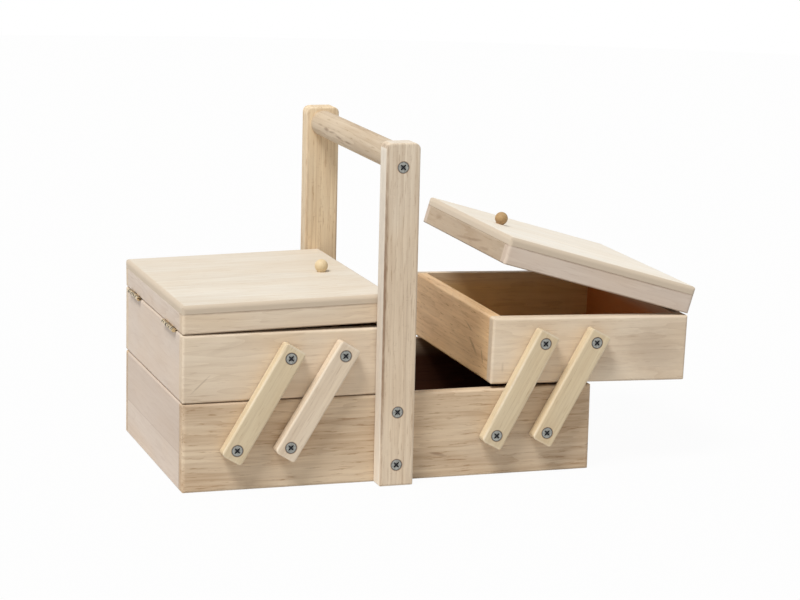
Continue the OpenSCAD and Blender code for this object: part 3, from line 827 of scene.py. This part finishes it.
def screw_material(name, face, axes=()):
    """Zinc-plated steel with painted shade in the recess, for screws that run along Y.

    The recess is what lies below the heads' faces, at y = face and y = -face in metres.
    Each axis, as (x, z, radius), has a head with painted shade round its rim and at its middle.
    """
    # Where the recess's painted shade starts and is full, in metres below the face
    recess_start, recess_full = 0.1 * MM, 0.35 * MM
    # Brightness of the dull patches, and shares of the painted shade at the rim and middle
    dull, rim_share, middle_share = 0.6, 0.75, 0.7
    look = bpy.context.scene.metal_look
    material, tree, shader = new_material(name, 0.32, metallic=1.0)
    place = tree.add("ShaderNodeTexCoord").outputs["Object"]
    below = tree.math("SUBTRACT", face, tree.math("ABSOLUTE", tree.parts(place)[1]))
    worn = tree.noise(place, (900.0, 900.0, 900.0), 3.0)
    dull_steel = opaque([part * dull for part in look.steel])
    colour = tree.mix(tree.ramp(worn, 0.35, 0.7), opaque(look.steel), dull_steel)
    colour = tree.mix(tree.ramp(below, recess_start, recess_full), colour, opaque(look.recess_shade))
    nearest = None
    for x, z, radius in axes:
        away = tree.vector("SUBTRACT", place, (x, 0.0, z))
        reach = tree.length(tree.vector("MULTIPLY", away, (1.0 / radius, 0.0, 1.0 / radius)))
        nearest = reach if nearest is None else tree.math("MINIMUM", nearest, reach)
    # Painted shade round the heads' rims and at their middles
    if nearest is not None:
        rim = tree.math("MULTIPLY", tree.ramp(nearest, 0.8, 0.97), rim_share)
        middle = tree.math("MULTIPLY", tree.ramp(nearest, 0.55, 0.25), middle_share)
        colour = tree.mix(tree.math("ADD", rim, middle, clamp=True), colour, opaque(look.recess_shade))
    tree.feed(shader.inputs["Base Color"], colour)
    tree.feed(shader.inputs["Roughness"], tree.ramp(worn, 0.3, 0.8, 0.24, 0.48))
    return material


def brass_material():
    """Brass plate with dull patches."""
    look = bpy.context.scene.metal_look
    material, tree, shader = new_material("brass_plate", 0.35, metallic=1.0)
    place = tree.add("ShaderNodeTexCoord").outputs["Object"]
    worn = tree.noise(place, (420.0, 420.0, 420.0), 3.0)
    colour = tree.mix(tree.ramp(worn, 0.47, 0.58), opaque(look.brass), opaque(look.tarnish))
    tree.feed(shader.inputs["Base Color"], colour)
    tree.feed(shader.inputs["Roughness"], tree.ramp(worn, 0.3, 0.8, 0.25, 0.5))
    return material


class SEWINGBOX_OT_metal(bpy.types.Operator):
    """Finish the screws, hinges and nails"""

    bl_idname = "sewingbox.metal"
    bl_label = "Finish the Metal"

    def execute(self, context):
        for node in ("base_link_screws", "left_tray_link_screws", "right_tray_link_screws",
                     "upright_screws", "handle_bar_screws"):
            paint(node, screw_material(f"zinc_{node}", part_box(node)[1][1], screw_axes(node)))
        # With its face this far off, in metres, a knob screw is all in the recess's painted shade
        beyond_all = 1.0
        plated = screw_material("zinc_knob_screws", beyond_all)
        brass = brass_material()
        for side in SIDES:
            paint(f"{side}_lid_knob_screw", plated)
            for name in ("tray_hinge_leaves", "hinge_pins", "tray_hinge_nails", "lid_hinge_leaves",
                         "lid_hinge_nails"):
                paint(f"{side}_{name}", brass)
        return {"FINISHED"}


def is_seen(tree):
    """1 where the camera, a gloss or a glass sees a surface, and 0 where light falls on it."""
    rays = tree.add("ShaderNodeLightPath").outputs
    indirect = tree.math("MAXIMUM", rays["Is Glossy Ray"], rays["Is Transmission Ray"])
    return tree.math("MAXIMUM", rays["Is Camera Ray"], indirect)


def seen_white(tree, shader_socket, share):
    """The shader as it is for light, going towards white where it is seen."""
    white = tree.add("ShaderNodeEmission", {"Color": WHITE, "Strength": 1.0}).outputs[0]
    whiteness = tree.math("MULTIPLY", is_seen(tree), share)
    return tree.add("ShaderNodeMixShader", {0: whiteness, 1: shader_socket, 2: white}).outputs[0]


class SEWINGBOX_OT_stage(bpy.types.Operator):
    """Make the camera, the light and the floor"""

    bl_idname = "sewingbox.stage"
    bl_label = "Make the Stage"

    def execute(self, context):
        look = context.scene.stage_look
        self.make_camera(context, look)
        self.make_light(context, look)
        self.make_floor(context, look)
        context.scene.view_settings.view_transform = "Standard"
        return {"FINISHED"}

    def make_camera(self, context, look):
        """The camera at the photograph's viewing angle."""
        data = bpy.data.cameras.new("camera")
        data.lens = look.lens
        data.sensor_width = 36.0
        data.clip_start, data.clip_end = 0.05, 20.0
        camera = bpy.data.objects.new("camera", data)
        context.collection.objects.link(camera)
        forward = Vector((math.sin(look.heading) * math.cos(look.downward),
                          math.cos(look.heading) * math.cos(look.downward), -math.sin(look.downward)))
        right = Vector((math.cos(look.heading), -math.sin(look.heading), 0.0))
        up = right.cross(forward)
        rolled_right = math.cos(look.roll) * right + math.sin(look.roll) * up
        rolled_up = math.cos(look.roll) * up - math.sin(look.roll) * right
        turn = Matrix((rolled_right, rolled_up, -forward)).transposed().to_4x4()
        camera.matrix_world = Matrix.Translation(look.camera_place) @ turn
        context.scene.camera = camera

    def make_light(self, context, look):
        """Even light from all round and a soft key from the upper left."""
        world = bpy.data.worlds.new("studio")
        world.use_nodes = True
        tree = Tree(world.node_tree)
        background = world.node_tree.nodes["Background"]
        levels = {"Value": is_seen(tree), "To Min": look.sky, "To Max": 1.0}
        tree.feed(background.inputs["Color"], WHITE)
        tree.feed(background.inputs["Strength"], tree.add("ShaderNodeMapRange", levels).outputs["Result"])
        context.scene.world = world
        sun = bpy.data.lights.new("key", "SUN")
        sun.energy = look.key
        sun.angle = look.key_spread
        lamp = bpy.data.objects.new("key", sun)
        lamp.rotation_mode = "QUATERNION"
        lamp.rotation_quaternion = Vector(look.key_from).to_track_quat("Z", "Y")
        context.collection.objects.link(lamp)

    def make_floor(self, context, look):
        """A round pale floor that keeps the object's shadow."""
        steps = 64
        reach = look.floor_size
        ring = [(reach * math.cos(math.tau * i / steps), reach * math.sin(math.tau * i / steps), 0.0)
                for i in range(steps)]
        mesh = bpy.data.meshes.new("floor")
        mesh.from_pydata(ring, [], [list(range(steps))])
        floor = bpy.data.objects.new("floor", mesh)
        context.collection.objects.link(floor)
        material, tree, shader = new_material("floor", 0.8)
        tree.feed(shader.inputs["Base Color"], opaque(look.floor))
        output = material.node_tree.nodes["Material Output"]
        tree.feed(output.inputs["Surface"], seen_white(tree, shader.outputs[0], look.floor_glow))
        mesh.materials.append(material)


class SEWINGBOX_PT_panel(bpy.types.Panel):
    """Steps and sizes of the sewing box's looks"""

    bl_label = "Sewing Box"
    bl_idname = "SEWINGBOX_PT_panel"
    bl_space_type = "VIEW_3D"
    bl_region_type = "UI"
    bl_category = "Sewing Box"

    def draw(self, context):
        """A button for each step, then the sizes and colours."""
        layout = self.layout
        for operator in STEPS:
            layout.operator(operator.bl_idname)
        for group in LOOKS:
            look = getattr(context.scene, group)
            box = layout.box()
            for name in look.__annotations__:
                box.prop(look, name)


LOOKS = {"wood_look": WoodLook, "metal_look": MetalLook, "stage_look": StageLook}
STEPS = (
    SEWINGBOX_OT_stage,
    SEWINGBOX_OT_base,
    SEWINGBOX_OT_handle,
    SEWINGBOX_OT_links,
    SEWINGBOX_OT_trays,
    SEWINGBOX_OT_lids,
    SEWINGBOX_OT_metal,
)


def register():
    """Adds the looks, the steps and the panel."""
    for cls in (*LOOKS.values(), *STEPS, SEWINGBOX_PT_panel):
        bpy.utils.register_class(cls)
    for name, cls in LOOKS.items():
        setattr(bpy.types.Scene, name, bpy.props.PointerProperty(type=cls))


def unregister():
    """Takes away what register adds."""
    for name in LOOKS:
        delattr(bpy.types.Scene, name)
    for cls in reversed((*LOOKS.values(), *STEPS, SEWINGBOX_PT_panel)):
        bpy.utils.unregister_class(cls)


def main():
    """Runs every step."""
    register()
    for operator in STEPS:
        family, name = operator.bl_idname.split(".")
        getattr(getattr(bpy.ops, family), name)()


if __name__ == "__main__":
    main()
